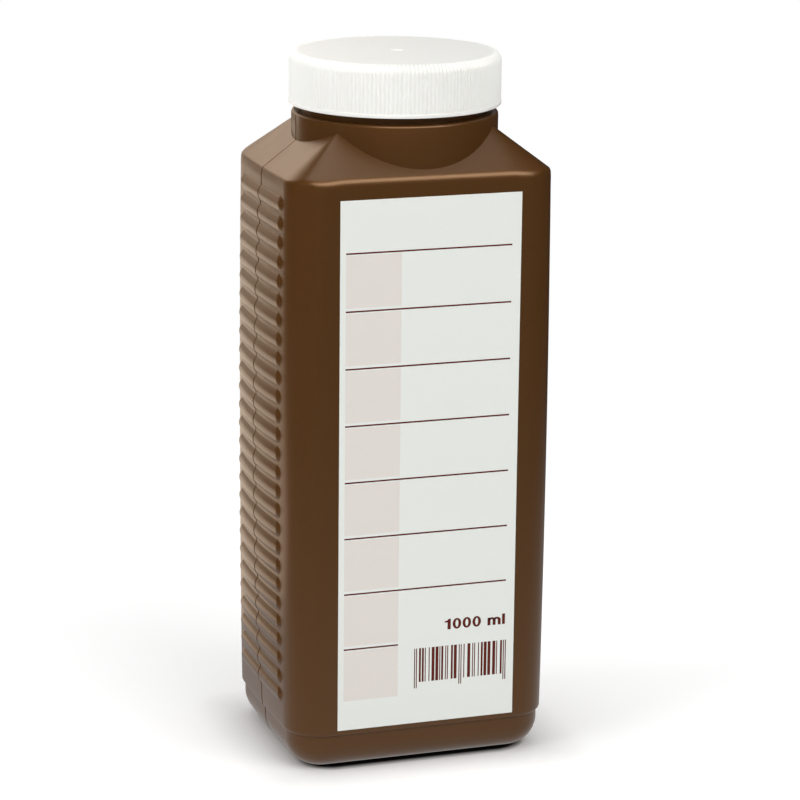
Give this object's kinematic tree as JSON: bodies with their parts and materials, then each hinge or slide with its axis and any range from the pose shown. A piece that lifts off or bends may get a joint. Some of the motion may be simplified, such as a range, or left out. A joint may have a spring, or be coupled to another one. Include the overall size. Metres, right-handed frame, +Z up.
{
  "type": "square media bottle",
  "caption": "Wide-mouth plastic media bottle of rectangular section: ribbed grip sides, sloped shoulders, knurled screw cap over a sealing disc, and a front label with ruled writing lines.",
  "frame": {"origin": "centre of the footprint on the standing plane", "axes": "+Z up through the cap, -Y towards the label, X across the ribbed grip sides"},
  "size_m": [0.0908, 0.0681, 0.218],
  "materials": {
    "bottle_body": "brown blow-moulded polyethylene, satin",
    "screw_cap": "white injection-moulded polypropylene, soft gloss",
    "cap_liner": "white foamed polyethylene",
    "front_label": "pale printed film, matt"
  },
  "bodies": {
    "bottle": {"bottle_body": "bottle_body", "front_label": "front_label"},
    "liner": {"cap_liner": "cap_liner"},
    "cap": {"screw_cap": "screw_cap"}
  },
  "joints": [
    {"name": "cap_lift", "type": "slide", "parent": "bottle", "child": "liner", "axis": [0, 0, 1], "range_m": [0, 0.015]},
    {"name": "cap_turn", "type": "hinge", "parent": "liner", "child": "cap", "pos_m": [0, 0, 0.21], "axis": [0, 0, 1], "range_deg": [0, 1080]}
  ],
  "couplings": [
    {"joint": "cap_lift", "follows": "cap_turn", "m_per_rad": 0.00079577}
  ]
}
